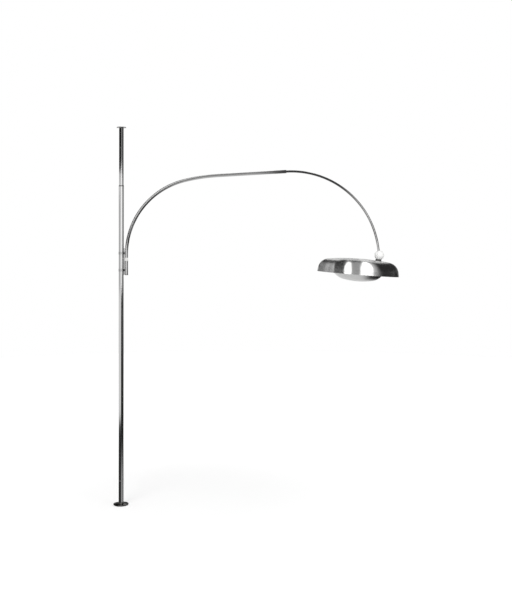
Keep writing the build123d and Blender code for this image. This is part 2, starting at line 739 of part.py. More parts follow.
# Collar on the crown, with a cup that the ball turns in, and the stiffening plate under it
with BuildPart() as ball_collar:
    with BuildSketch(stem_section):
        with BuildLine():
            cup_r = BALL_R + CUP_GAP
            foot_inner = (stem_hole_r, below_ball(stem_hole_r))
            foot = RadiusArc(foot_inner, (COLLAR_R, below_ball(COLLAR_R)), CROWN_R)
            lip = (sqrt(cup_r**2 - COLLAR_LIP**2), -COLLAR_LIP)
            Polyline(foot @ 1, (COLLAR_R, -COLLAR_LIP), lip)
            cup = RadiusArc(lip, (stem_hole_r, -sqrt(cup_r**2 - stem_hole_r**2)), cup_r)
            Line(cup @ 1, foot @ 0)
        make_face()
    revolve(axis=stem_axis)
with BuildPart() as seat_plate:
    with BuildSketch(stem_section):
        with BuildLine():
            under = RadiusArc(
                (stem_hole_r, below_ball(stem_hole_r, SHADE_WALL)),
                (SEAT_PLATE_R, below_ball(SEAT_PLATE_R, SHADE_WALL)),
                CROWN_R - SHADE_WALL,
            )
            Polyline(under @ 1, (SEAT_PLATE_R, plate_low), (stem_hole_r, plate_low), under @ 0)
        make_face()
    revolve(axis=stem_axis)

# Lamp hub on the shade's axis: a six-sided block on a neck, with a lamp on every other face
with BuildPart() as lamp_hub:
    with BuildSketch(shade_plane.offset(HUB_BOTTOM)):
        RegularPolygon(HUB_APOTHEM, 6, major_radius=False, rotation=30)
    extrude(amount=HUB_TOP - HUB_BOTTOM)
    with BuildSketch(shade_section):
        with BuildLine():
            seat = RadiusArc(
                (0, crown_height(0, SHADE_WALL)),
                (HUB_NECK_R, crown_height(HUB_NECK_R, SHADE_WALL)),
                CROWN_R - SHADE_WALL,
            )
            Polyline(seat @ 1, (HUB_NECK_R, HUB_TOP), (0, HUB_TOP), seat @ 0)
        make_face()
    revolve(axis=shade_axis)


def radial(angle):
    """Unit direction away from the shade's axis, square to it."""
    return across * cos(radians(angle)) + Vector(0, 1, 0) * sin(radians(angle))


def lamp_section(angle):
    """Half section of one lamp: x is the radius from the lamp's axis, y runs out along that axis."""
    foot_point = rim_centre + upward * LAMP_H + radial(angle) * HUB_APOTHEM
    return Plane(origin=foot_point, x_dir=upward, z_dir=upward.cross(radial(angle)))


def lamp_set(outline_maker):
    """The same turned outline on every lamp axis, as separate solids of one node."""
    with BuildPart() as lamps:
        for angle in LAMP_ANGLES:
            section = lamp_section(angle)
            with BuildSketch(section):
                with BuildLine():
                    outline_maker()
                make_face()
            revolve(axis=Axis(section.origin, radial(angle)))
    return lamps


def holder_outline():
    """Moulded lampholder, open at its outer end."""
    Polyline(
        (0, 0),
        (HOLDER_R, 0),
        (HOLDER_R, HOLDER_L),
        (HOLDER_BORE_R, HOLDER_L),
        (HOLDER_BORE_R, HOLDER_FLOOR),
        (0, HOLDER_FLOOR),
        close=True,
    )


def cap_outline():
    """Screw cap of a bulb, home in its holder."""
    Polyline((0, HOLDER_FLOOR), (CAP_R, HOLDER_FLOOR), (CAP_R, CAP_END), (0, CAP_END), close=True)


def bulb_outline():
    """Round bulb: a short neck that runs into a sphere."""
    neck_end = (BULB_NECK_R, BULB_CENTRE - sqrt(BULB_R**2 - BULB_NECK_R**2))
    tip = (0, BULB_CENTRE + BULB_R)
    Polyline(tip, (0, CAP_END), (BULB_NECK_R, CAP_END), neck_end)
    ThreePointArc(neck_end, (BULB_R, BULB_CENTRE), tip)


lampholders = lamp_set(holder_outline)
bulb_caps = lamp_set(cap_outline)
bulbs = lamp_set(bulb_outline)

# Reflector bowl: a shallow spun dish with a rolled bead, hung in three hooked clips under the shade
with BuildPart() as reflector_bowl:
    with BuildSketch(shade_section):
        with BuildLine():
            floor_r = (BOWL_FLAT[0] ** 2 + (BOWL_FLAT[1] + BOWL_DEPTH) ** 2) / 2 / (BOWL_FLAT[1] + BOWL_DEPTH)
            flat = RadiusArc((0, -BOWL_DEPTH), BOWL_FLAT, -floor_r)
            TangentArc(flat @ 1, BOWL_EDGE, tangent=flat % 1)
            offset(amount=BOWL_WALL, side=Side.LEFT)
        make_face()
        with Locations(BEAD):
            Circle(BEAD_R)
    revolve(axis=shade_axis)

with BuildPart() as bowl_clips:
    hook_top = BEAD[1] - BEAD_R
    for angle in CLIP_ANGLES:
        start = radial(angle - CLIP_SPREAD / 2)
        with BuildSketch(Plane(origin=rim_centre, x_dir=start, z_dir=start.cross(upward))):
            with BuildLine():
                tab_top = RadiusArc(
                    (CLIP_TAB_R, crown_height(CLIP_TAB_R, SHADE_WALL)),
                    (CLIP_R, crown_height(CLIP_R, SHADE_WALL)),
                    CROWN_R - SHADE_WALL,
                )
                under_tab = SHADE_WALL + CLIP_T
                strip_top = (CLIP_R - CLIP_T, crown_height(CLIP_R - CLIP_T, under_tab))
                Polyline(
                    tab_top @ 1,
                    (CLIP_R, hook_top - CLIP_T),
                    (CLIP_HOOK_R, hook_top - CLIP_T),
                    (CLIP_HOOK_R, hook_top),
                    (CLIP_R - CLIP_T, hook_top),
                    strip_top,
                )
                tab_low = RadiusArc(
                    strip_top,
                    (CLIP_TAB_R, crown_height(CLIP_TAB_R, under_tab)),
                    -(CROWN_R - under_tab),
                )
                Line(tab_low @ 1, tab_top @ 0)
            make_face()
        revolve(axis=shade_axis, revolution_arc=CLIP_SPREAD)

pieces = {
    "floor_pad": floor_pad,
    "foot_disc": foot_disc,
    "foot_ferrule": foot_ferrule,
    "foot_plug": foot_plug,
    "foot_screw": foot_screw,
    "foot_stem": foot_stem,
    "foot_spigot": foot_spigot,
    "lower_pole": lower_pole,
    "pole_coupler": pole_coupler,
    "upper_pole": upper_pole,
    "guide_bush": guide_bush,
    "lock_screw": lock_screw,
    "spring_seat": spring_seat,
    "tension_spring": tension_spring,
    "ceiling_tube": ceiling_tube,
    "spring_plunger": spring_plunger,
    "ceiling_flange": ceiling_flange,
    "ceiling_pad": ceiling_pad,
    "arm_socket": arm_socket,
    "lower_clamp_band": lower_clamp_band,
    "upper_clamp_band": upper_clamp_band,
    "clamp_pads": clamp_pads,
    "clamp_screws": clamp_screws,
    "clamp_nuts": clamp_nuts,
    "swivel_bush": swivel_bush,
    "cord_grommet": cord_grommet,
    "outer_arm": outer_arm,
    "arm_spigot": arm_spigot,
    "arm_ferrule": arm_ferrule,
    "slide_bush": slide_bush,
    "inner_arm": inner_arm,
    "inner_glide": inner_glide,
    "arm_eye": arm_eye,
    "ball_front": ball_front,
    "ball_rear": ball_rear,
    "pivot_bolt": pivot_bolt,
    "pivot_nut": pivot_nut,
    "friction_washers": friction_washers,
    "pivot_caps": pivot_caps,
    "swivel_stem": swivel_stem,
    "stem_washer": stem_washer,
    "stem_nut": stem_nut,
    "shade_dome": shade_dome,
    "ball_collar": ball_collar,
    "seat_plate": seat_plate,
    "lamp_hub": lamp_hub,
    "lampholders": lampholders,
    "bulb_caps": bulb_caps,
    "bulbs": bulbs,
    "reflector_bowl": reflector_bowl,
    "bowl_clips": bowl_clips,
}
for label, piece in pieces.items():
    piece.part.label = label
    export_step(piece.part, f"parts/{label}.step")
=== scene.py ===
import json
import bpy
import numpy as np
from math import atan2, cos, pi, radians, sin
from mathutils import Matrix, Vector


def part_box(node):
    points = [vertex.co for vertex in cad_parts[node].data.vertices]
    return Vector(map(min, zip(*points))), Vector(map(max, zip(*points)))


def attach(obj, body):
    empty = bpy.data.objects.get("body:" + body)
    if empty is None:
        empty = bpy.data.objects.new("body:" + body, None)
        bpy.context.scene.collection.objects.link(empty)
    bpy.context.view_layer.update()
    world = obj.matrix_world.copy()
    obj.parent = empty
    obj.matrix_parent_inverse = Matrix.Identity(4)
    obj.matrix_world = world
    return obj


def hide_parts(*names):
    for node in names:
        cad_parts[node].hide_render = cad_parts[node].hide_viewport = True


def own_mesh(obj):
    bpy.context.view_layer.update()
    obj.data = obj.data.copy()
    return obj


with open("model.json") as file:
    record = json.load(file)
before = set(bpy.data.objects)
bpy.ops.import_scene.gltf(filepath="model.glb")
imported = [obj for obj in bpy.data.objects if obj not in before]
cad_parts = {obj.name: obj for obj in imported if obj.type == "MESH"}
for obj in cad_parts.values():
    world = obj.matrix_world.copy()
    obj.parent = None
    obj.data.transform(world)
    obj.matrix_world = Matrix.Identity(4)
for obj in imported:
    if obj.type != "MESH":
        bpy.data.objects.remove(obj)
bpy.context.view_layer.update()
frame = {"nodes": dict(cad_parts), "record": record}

# %% [markdown]
# A lamp on a chromed pole that is wedged between floor and ceiling. A bent arm in two telescoping tubes
# carries a wide spun shade on a white ball. The solids come from the CAD frame, already in metres and in
# place, so this file gives them their finishes, adds the few forms that are too fine for the solids, and
# sets up the studio.

nodes = frame["nodes"]
print("solids in the frame:", len(nodes))

# %% [markdown]
# The camera looks level, from a little above the shade, so upright lines stay parallel. The photograph
# shows more floor than ceiling: a small downward shift of the film gives that framing and keeps the
# verticals straight, which tipping the camera wouldn't. The photograph also leans by less than a tenth of a
# degree, so the camera rolls as much.

# %% Camera
CAMERA_ROLL = -0.0012
camera_data = bpy.data.cameras.new("photo_camera")
camera_data.lens = 53.9
camera_data.sensor_width = 36.0
camera_data.shift_x = 0.0002
camera_data.shift_y = -0.0901
camera = bpy.data.objects.new("photo_camera", camera_data)
camera.location = (0.9275, -6.2, 1.78)
camera.rotation_euler = (pi / 2, CAMERA_ROLL, 0)
bpy.context.scene.collection.objects.link(camera)
bpy.context.scene.camera = camera
bpy.context.scene.view_settings.view_transform = "Standard"
print("camera at", tuple(camera.location))

# %% [markdown]
# Shader maths reads best as plain arithmetic. A Wire holds one output socket; adding or multiplying wires
# puts a Math node into the tree, and make() adds any other node. Numbers on their own stay in Python.

# %% A socket that does arithmetic
class Wire:
    """One output socket of a node tree, with Python's operators standing for Math nodes."""

    def __init__(self, tree, socket=None):
        self.tree = tree
        self.socket = socket

    def make(self, kind, settings=None, inputs=None, output=0):
        """Add a node: its settings first, then a value or a link for each named or numbered input."""
        node = self.tree.nodes.new(kind)
        for name, value in (settings or {}).items():
            setattr(node, name, value)
        for key, value in (inputs or {}).items():
            if isinstance(value, Wire):
                self.tree.links.new(value.socket, node.inputs[key])
            else:
                node.inputs[key].default_value = value
        return Wire(self.tree, node.outputs[output] if node.outputs else None)

    def out(self, name):
        """Another output of the node that this wire comes from."""
        return Wire(self.tree, self.socket.node.outputs[name])

    def math(self, operation, first, second=0.0):
        """A Math node on one or two values."""
        return self.make("ShaderNodeMath", {"operation": operation}, {0: first, 1: second})

    def __add__(self, other):
        return self.math("ADD", self, other)

    def __radd__(self, other):
        return self.math("ADD", other, self)

    def __sub__(self, other):
        return self.math("SUBTRACT", self, other)

    def __rsub__(self, other):
        return self.math("SUBTRACT", other, self)

    def __mul__(self, other):
        return self.math("MULTIPLY", self, other)

    def __rmul__(self, other):
        return self.math("MULTIPLY", other, self)

    def blend(self, low, high):
        """Colour between low and high by this wire's value."""
        return self.make("ShaderNodeMix", {"data_type": "RGBA"}, {0: self, 6: low, 7: high}, output=2)


def finish(name, surface, **fixed):
    """A new material: surface(wire) returns the sockets that vary, the fixed ones are plain values."""
    material = bpy.data.materials.new(name)
    material.use_nodes = True
    tree = material.node_tree
    shader = tree.nodes["Principled BSDF"]
    for key, value in fixed.items():
        shader.inputs[key.replace("_", " ")].default_value = value
    for key, value in surface(Wire(tree)).items():
        tree.links.new(value.socket, shader.inputs[key])
    return material


def place(wire):
    """Object coordinates, which are the part's own metres."""
    return wire.make("ShaderNodeTexCoord", output=3)


def cloudy(wire, vector, scale, detail=3.0, rough=0.55):
    """Noise between 0 and 1 at a number of cells to the metre."""
    inputs = {"Vector": vector, "Scale": scale, "Detail": detail, "Roughness": rough}
    return wire.make("ShaderNodeTexNoise", None, inputs)


def stretched(wire, vector, scale, turn=(0.0, 0.0, 0.0)):
    """Coordinates scaled, then turned, by a Mapping node."""
    return wire.make("ShaderNodeMapping", None, {"Vector": vector, "Rotation": turn, "Scale": scale})


def bumped(wire, height, distance, strength):
    """A normal that follows a height in metres."""
    return wire.make("ShaderNodeBump", None, {"Height": height, "Distance": distance, "Strength": strength})


print("shader helpers ready")

# %% [markdown]
# Chrome on drawn tube is a mirror with a little life in it: the tube isn't perfectly straight, hands leave
# faint films that widen the reflection, and polishing leaves hair lines along the tube. So the colour
# hardly changes, while the roughness and a very low bump do. The arm and its bracket are greyer and softer,
# a satin nickel, and the disc on the floor and its ferrule are a darker chrome.

# %% Tube finishes
def chrome_surface(wire):
    where = place(wire)
    film = cloudy(wire, where, 14.0)
    hairs = cloudy(wire, stretched(wire, where, (900.0, 900.0, 12.0)), 1.0, detail=2.0)
    sway = cloudy(wire, stretched(wire, where, (12.0, 12.0, 2.5)), 1.0, detail=1.0)
    return {
        "Base Color": film.blend((0.55, 0.55, 0.55, 1), (0.59, 0.59, 0.588, 1)),
        "Roughness": 0.03 + film * 0.03 + hairs * 0.02,
        "Normal": bumped(wire, sway, 0.0002, 0.1),
    }


chrome = finish("polished_chrome", chrome_surface, Metallic=1.0)


def satin_nickel_surface(wire):
    where = place(wire)
    film = cloudy(wire, where, 18.0)
    return {
        "Base Color": film.blend((0.40, 0.40, 0.40, 1), (0.45, 0.45, 0.448, 1)),
        "Roughness": 0.07 + film * 0.04,
        "Normal": bumped(wire, film, 0.0001, 0.1),
    }


satin_nickel = finish("satin_nickel", satin_nickel_surface, Metallic=1.0)


def dark_chrome_surface(wire):
    where = place(wire)
    film = cloudy(wire, where, 40.0)
    rings = cloudy(wire, stretched(wire, where, (40.0, 40.0, 900.0)), 1.0, detail=2.0)
    return {
        "Base Color": film.blend((0.060, 0.058, 0.056, 1), (0.090, 0.088, 0.085, 1)),
        "Roughness": 0.10 + rings * 0.10,
        "Normal": bumped(wire, rings, 0.00003, 0.3),
    }


dark_chrome = finish("dark_chrome", dark_chrome_surface, Metallic=1.0)
print("tube finishes:", chrome.name, satin_nickel.name, dark_chrome.name)

# %% [markdown]
# The shade is spun from aluminium sheet and brushed on the lathe, so fine lines run round its axis. They
# scatter light across themselves and hardly along themselves: that is what anisotropy is for. The axis
# leans a little, so the pattern is turned to match before its radius and height are read. The inner face is
# white enamel. Inside and outside belong to one solid, and the normal tells them apart: outside it points
# away from the middle of the shade.

# %% Shade
RIM_CENTRE = (1.63019, 0.0, 1.59077)
SHADE_TILT = radians(4.2)
SHADE_MIDDLE = (1.63, 0.0, 1.56)


def lathe_place(wire):
    """Radius from the shade's axis and height above its rim, in metres, and the angle round the axis."""
    shifted = wire.make("ShaderNodeVectorMath", {"operation": "SUBTRACT"}, {0: place(wire), 1: RIM_CENTRE})
    upright = stretched(wire, shifted, (1.0, 1.0, 1.0), turn=(0.0, -SHADE_TILT, 0.0))
    parts = wire.make("ShaderNodeSeparateXYZ", None, {0: upright})
    x = parts.out("X")
    y = parts.out("Y")
    return wire.math("SQRT", x * x + y * y), parts.out("Z"), wire.math("ARCTAN2", y, x)


def lathe_lines(wire, fineness, run):
    """Noise that is fine along the profile and long round the axis."""
    radius, height, turn = lathe_place(wire)
    spread = {0: radius * fineness, 1: height * fineness, 2: turn * run}
    return cloudy(wire, wire.make("ShaderNodeCombineXYZ", None, spread), 1.0, detail=4.0, rough=0.65)


def outward_mask(wire):
    """1 on faces that look away from a point inside the shade, 0 on those that look towards it."""
    away = wire.make("ShaderNodeVectorMath", {"operation": "SUBTRACT"}, {0: place(wire), 1: SHADE_MIDDLE})
    normal = wire.make("ShaderNodeTexCoord", output=1)
    product = {"operation": "DOT_PRODUCT"}
    facing = wire.make("ShaderNodeVectorMath", product, {0: normal, 1: away}, output=1)
    return wire.math("GREATER_THAN", facing, 0.0)


def shade_surface(wire):
    lines = lathe_lines(wire, 900.0, 0.6)
    broad = lathe_lines(wire, 120.0, 0.25)
    outside = outward_mask(wire)
    brushed = (lines * 0.6 + broad * 0.4).blend((0.58, 0.58, 0.577, 1), (0.68, 0.68, 0.677, 1))
    enamel = broad.blend((0.84, 0.84, 0.82, 1), (0.88, 0.88, 0.87, 1))
    return {
        "Base Color": outside.blend(enamel, brushed),
        "Metallic": outside,
        "Roughness": outside * (0.17 + lines * 0.07) + (1.0 - outside) * 0.38,
        "Normal": bumped(wire, lines, 0.00008, 0.5),
    }


brushed_shade = finish("brushed_shade", shade_surface, Anisotropic=1.0, Anisotropic_Rotation=0.25)


def bowl_surface(wire):
    lines = lathe_lines(wire, 600.0, 0.4)
    return {
        "Base Color": lines.blend((0.48, 0.48, 0.48, 1), (0.56, 0.56, 0.557, 1)),
        "Roughness": 0.28 + lines * 0.10,
        "Normal": bumped(wire, lines, 0.00006, 0.4),
    }


satin_bowl = finish("satin_bowl", bowl_surface, Metallic=1.0, Anisotropic=0.4, Anisotropic_Rotation=0.25)
print("shade finishes:", brushed_shade.name, satin_bowl.name)

# %% [markdown]
# The small parts need plainer finishes. Moulded plastic has a faint orange-peel texture and patches that
# hands have polished, rubber is matt with dust in its grain, turned steel has fine rings, and the bulbs are
# opal glass.

# %% Mouldings, rubber, steel and glass
def moulding(name, dark, light, rough, peel):
    """Moulded plastic: two close colours, a roughness in patches and a fine peel."""

    def surface(wire):
        where = place(wire)
        patch = cloudy(wire, where, 35.0)
        grain = cloudy(wire, where, 900.0, detail=2.0)
        return {
            "Base Color": patch.blend((*dark, 1), (*light, 1)),
            "Roughness": rough + patch * 0.12,
            "Normal": bumped(wire, grain, peel, 0.4),
        }

    return finish(name, surface)


white_moulding = moulding("white_moulding", (0.94, 0.94, 0.93), (0.97, 0.97, 0.96), 0.30, 0.00004)
# A greyer copy of the white moulding for the bush in the socket: painted shade for the shadow that it sits
# in.
painted_shade_bush = moulding("painted_shade_bush", (0.62, 0.62, 0.61), (0.68, 0.68, 0.67), 0.34, 0.00004)
gunmetal = moulding("gunmetal", (0.07, 0.07, 0.07), (0.11, 0.11, 0.11), 0.34, 0.00005)
blackened_steel = moulding("blackened_steel", (0.012, 0.012, 0.012), (0.03, 0.03, 0.03), 0.3, 0.00005)
black_moulding = moulding("black_moulding", (0.018, 0.018, 0.018), (0.035, 0.035, 0.034), 0.42, 0.0001)
pad_rubber = moulding("pad_rubber", (0.02, 0.02, 0.02), (0.05, 0.05, 0.048), 0.7, 0.0003)
hub_enamel = moulding("hub_enamel", (0.80, 0.80, 0.79), (0.87, 0.87, 0.86), 0.3, 0.00008)
opal_glass = moulding("opal_glass", (0.90, 0.90, 0.88), (0.94, 0.94, 0.92), 0.1, 0.00002)


def steel_surface(wire):
    where = place(wire)
    patch = cloudy(wire, where, 60.0)
    rings = cloudy(wire, stretched(wire, where, (60.0, 60.0, 2500.0)), 1.0, detail=2.0)
    return {
        "Base Color": patch.blend((0.46, 0.46, 0.46, 1), (0.60, 0.60, 0.59, 1)),
        "Roughness": 0.26 + rings * 0.18,
        "Normal": bumped(wire, rings, 0.00005, 0.4),
    }


turned_steel = finish("turned_steel", steel_surface, Metallic=1.0)


def brass_surface(wire):
    where = place(wire)
    patch = cloudy(wire, where, 120.0)
    return {
        "Base Color": patch.blend((0.55, 0.42, 0.20, 1), (0.72, 0.58, 0.32, 1)),
        "Roughness": 0.22 + patch * 0.2,
    }


rolled_brass = finish("rolled_brass", brass_surface, Metallic=1.0)
print("small finishes ready")

# %% [markdown]
# Each solid gets the finish of its record slot, so the render and the record agree. In a few places one
# slot covers two looks: the arm's tubes, ferrule and socket and the clamp bands are duller than the pole,
# the foot is darker, the bush in the socket is a greyer copy of the ball's white, painted shade for the
# shadow that it sits in, and the collar under the ball is a worn gunmetal and not quite black.

# %% Dress the solids
SLOT_FINISH = {
    "chrome": chrome,
    "steel": turned_steel,
    "blackened_steel": blackened_steel,
    "rubber": pad_rubber,
    "black_plastic": black_moulding,
    "white_plastic": white_moulding,
    "white_metal": hub_enamel,
    "shade_aluminium": brushed_shade,
    "bowl_aluminium": satin_bowl,
    "bulb_cap": rolled_brass,
    "bulb_glass": opal_glass,
}
OWN_FINISH = {
    "outer_arm": satin_nickel,
    "inner_arm": satin_nickel,
    "arm_ferrule": satin_nickel,
    "arm_socket": satin_nickel,
    "upper_clamp_band": satin_nickel,
    "lower_clamp_band": satin_nickel,
    "foot_disc": dark_chrome,
    "foot_ferrule": dark_chrome,
    "swivel_bush": painted_shade_bush,
    "ball_collar": gunmetal,
}
for part in frame["record"]["subparts"]:
    solid = nodes[part["node"]]
    solid.data.materials.clear()
    solid.data.materials.append(OWN_FINISH.get(part["node"], SLOT_FINISH[part["material_slot"]]))
print("dressed", len(nodes), "solids")

# %% [markdown]
# Two forms are wound, and a solid shows them only as plain sleeves: the spring that presses the pole
# against the ceiling, and the threads on the lampholders that take a shade ring. Both are rings of points
# in rows, so one pair of helpers closes such a grid into a mesh and lets it ride on a body.

# %% Grids that close
def grid_faces(rows, columns):
    """Four-cornered faces of a grid whose columns close into a ring, with a fan to a point at each end."""
    here = np.arange(rows * columns).reshape(rows, columns)
    beside = np.roll(here, -1, axis=1)
    walls = np.stack([here[:-1], beside[:-1], beside[1:], here[1:]], axis=-1).reshape(-1, 4)
    start = np.full(columns, rows * columns)
    first = np.stack([beside[0], here[0], start], axis=1)
    last = np.stack([here[-1], beside[-1], start + 1], axis=1)
    return walls.tolist() + first.tolist() + last.tolist()


def wound_piece(name, rings, ends, body, slot, material):
    """An object from rings of points, closed at both ends, that rides on a body."""
    rows, columns = rings.shape[:2]
    mesh = bpy.data.meshes.new(name)
    mesh.from_pydata(np.concatenate([rings.reshape(-1, 3), ends]).tolist(), [], grid_faces(rows, columns))
    mesh.shade_smooth()
    mesh.materials.append(material)
    piece = bpy.data.objects.new(name, mesh)
    bpy.context.scene.collection.objects.link(piece)
    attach(piece, body)
    print(name, "faces:", len(mesh.polygons))
    return piece


# %% [markdown]
# A spring inside the pole pushes the top section up. It is wound from round wire on a mandrel, and its end
# turns are closed so that it stands flat. Its wire is a circle carried along a helix: numpy works out every
# point at once from the turn along the coil and the angle round the wire.

# %% Spring in the pole
COIL_TURNS = 12.0
CLOSED_TURNS = 1.25
WIRE_R = 0.0016
CLOSED_PITCH = 2.05 * WIRE_R
spring_low, spring_high = np.array(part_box("tension_spring"))
coil_r = (spring_high[0] - spring_low[0]) / 2 - WIRE_R


def coil_rings(steps=361, around=10):
    """Helix of radius R: centre = (R cos t, R sin t, z(t)), with a ring of wire square to its run.

    z rises one wire to the turn in the closed turns at both ends, and evenly between them.
    """
    turn = np.linspace(0, COIL_TURNS, steps)
    low = spring_low[2] + WIRE_R
    high = spring_high[2] - WIRE_R
    closed = CLOSED_PITCH * CLOSED_TURNS
    knots = [0, CLOSED_TURNS, COIL_TURNS - CLOSED_TURNS, COIL_TURNS]
    rise = np.interp(turn, knots, [low, low + closed, high - closed, high])
    angle = 2 * pi * turn
    outward = np.stack([np.cos(angle), np.sin(angle), np.zeros_like(angle)], axis=1)
    centre = coil_r * outward + np.stack([0 * rise, 0 * rise, rise], axis=1)
    run = np.gradient(centre, axis=0)
    run /= np.linalg.norm(run, axis=1, keepdims=True)
    across = np.cross(run, outward)
    spin = np.linspace(0, 2 * pi, around, endpoint=False)
    wire = np.cos(spin)[:, None] * outward[:, None, :] + np.sin(spin)[:, None] * across[:, None, :]
    return centre[:, None, :] + WIRE_R * wire, centre[[0, -1]]


pole_spring = wound_piece("pole_spring", *coil_rings(), "pole", "steel", turned_steel)
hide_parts("tension_spring")
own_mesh(pole_spring)

# %% [markdown]
# The lampholders are moulded with a coarse thread outside. Its crest winds round as it goes along, so the
# radius is a cosine of the distance along the holder less the angle round it, and it runs out at both ends.
# The thread starts a hair inside the holder, so that no gap shows between the two.

# %% Threads on the lampholders
HOLDER_R = 0.0195
HOLDER_FOOT = 0.030
HOLDER_RISE = 0.066
HOLDER_TURNS = (60.0, 180.0, 300.0)
THREAD_SPAN = (0.010, 0.030)
THREAD_PITCH = 0.0025
THREAD_DEPTH = 0.00045
THREAD_SINK = 0.0001
THREAD_RUNOUT = 0.001
upward = np.array([sin(SHADE_TILT), 0.0, cos(SHADE_TILT)])
across = np.array([cos(SHADE_TILT), 0.0, -sin(SHADE_TILT)])


def thread_rings(angle, steps=81, around=48):
    """Sleeve round a holder: r = R - sink + depth (1 + cos(2 pi s / pitch - v)) / 2.

    s runs along the holder and v round it; the depth falls to nothing over the runout at both ends.
    """
    out = across * cos(angle) + np.array([0.0, 1.0, 0.0]) * sin(angle)
    side = np.cross(out, upward)
    along = np.linspace(*THREAD_SPAN, steps)[:, None]
    spin = np.linspace(0, 2 * pi, around, endpoint=False)[None, :]
    ends = np.clip(np.minimum(along - THREAD_SPAN[0], THREAD_SPAN[1] - along) / THREAD_RUNOUT, 0, 1)
    crest = (1 + np.cos(2 * pi * along / THREAD_PITCH - spin)) / 2
    radius = HOLDER_R - THREAD_SINK + ends * THREAD_DEPTH * crest
    foot = np.array(RIM_CENTRE) + upward * HOLDER_RISE + out * HOLDER_FOOT
    ring = np.cos(spin)[..., None] * upward + np.sin(spin)[..., None] * side
    middles = foot + np.array(THREAD_SPAN)[:, None] * out
    return foot + along[..., None] * out + radius[..., None] * ring, middles


for count, angle in enumerate(np.radians(HOLDER_TURNS)):
    name = f"holder_thread_{count + 1}"
    wound_piece(name, *thread_rings(angle), "shade", "black_plastic", black_moulding)

# %% [markdown]
# The studio has a pale floor under a white surround. Chrome and brushed aluminium are made of what they
# reflect, so the metal has to see that white too, and the world shows it to camera, glossy and transmission
# rays alike. What only lights matt surfaces is lower, or the white ball would lose its shape.

# %% Surround
SOFT_LIGHT = 0.62
world = bpy.data.worlds.new("studio_surround")
bpy.context.scene.world = world
world.use_nodes = True
world.node_tree.nodes.clear()
sky = Wire(world.node_tree)
rays = sky.make("ShaderNodeLightPath")
seen_or_mirrored = sky.math("MAXIMUM", rays.out("Is Camera Ray"), rays.out("Is Glossy Ray"))
plain = sky.math("MAXIMUM", seen_or_mirrored, rays.out("Is Transmission Ray"))
white = sky.make("ShaderNodeBackground", None, {"Color": (1, 1, 1, 1), "Strength": 1.0})
soft = sky.make("ShaderNodeBackground", None, {"Color": (1, 1, 1, 1), "Strength": SOFT_LIGHT})
surround = sky.make("ShaderNodeMixShader", None, {0: plain, 1: soft, 2: white})
sky.make("ShaderNodeOutputWorld", None, {0: surround})
print("surround nodes:", len(world.node_tree.nodes))

# %% [markdown]
# A photographer shapes metal with cards: dark flags draw the black lines in chrome, bright ones the white
# stripes down the shade. Here a card is a patch of a very large sphere that only mirrors can see, and two
# angles in degrees give its place. For the pole they are its bearing, from the camera's side towards the
# shade's, and its height over the horizon. The shade's wall bends two ways, so there they are the turn and
# tilt of a surface that mirrors the card to the camera, and a card of one turn stands as an upright stripe
# on the wall. Cards fade out at their edges, and each new one stands a little nearer than the one before,
# so it covers it.

# %% Cards for the metal
CARD_CENTRE = np.array([0.9, 0.0, camera.location.z])
CARD_RADIUS = 400.0
CARD_STEP = 0.01
LEAN_TILT = 60.0
STEEPEST = 88.0
DEGREES = 180 / pi
cards = []


def card_patch(viewer, turns, tilts, centre, radius, steps=49):
    """Sphere patch over a turn t and a tilt e.

    n = (cos e sin t, -cos e cos t, sin e) is the card's own direction, or the way a surface faces that
    mirrors the card to a viewer: then the card stands at 2 (n . viewer) n - viewer.
    """
    turn, tilt = np.meshgrid(np.radians(np.linspace(*turns, steps)), np.radians(np.linspace(*tilts, steps)))
    spots = np.stack([np.cos(tilt) * np.sin(turn), -np.cos(tilt) * np.cos(turn), np.sin(tilt)], axis=-1)
    if viewer is not None:
        spots = 2 * (spots @ viewer)[..., None] * spots - viewer
    return centre + radius * spots


def fade(wire, value, soft):
    """0 where a value is below -soft / 2, 1 where it is above soft / 2, and a smooth step between."""
    limits = {"From Min": -soft / 2, "From Max": soft / 2}
    return wire.make("ShaderNodeMapRange", {"interpolation_type": "SMOOTHSTEP"}, {"Value": value, **limits})


def glow_finish(name, level, mask):
    """A glow of one level where mask(wire) is 1, and nothing where it is 0."""
    material = bpy.data.materials.new(name)
    material.use_nodes = True
    material.node_tree.nodes.clear()
    material.cycles.emission_sampling = "NONE"
    wire = Wire(material.node_tree)
    clear = wire.make("ShaderNodeBsdfTransparent")
    glow = wire.make("ShaderNodeEmission", None, {"Color": (1, 1, 1, 1), "Strength": level})
    mixed = wire.make("ShaderNodeMixShader", None, {0: mask(wire), 1: clear, 2: glow})
    wire.make("ShaderNodeOutputMaterial", None, {0: mixed})
    return material


def stand_card(name, spots, material):
    """Stand a grid of points in the studio as a sheet that only mirrors see."""
    rows, columns = spots.shape[:2]
    corner = (np.arange(rows - 1)[:, None] * columns + np.arange(columns - 1)[None, :]).ravel()
    faces = np.stack([corner, corner + 1, corner + columns + 1, corner + columns], axis=1)
    mesh = bpy.data.meshes.new(name)
    mesh.from_pydata(spots.reshape(-1, 3).tolist(), [], faces.tolist())
    mesh.materials.append(material)
    sheet = bpy.data.objects.new(name, mesh)
    bpy.context.scene.collection.objects.link(sheet)
    sheet.visible_camera = False
    sheet.visible_diffuse = False
    sheet.visible_transmission = False
    sheet.visible_shadow = False
    cards.append(sheet)


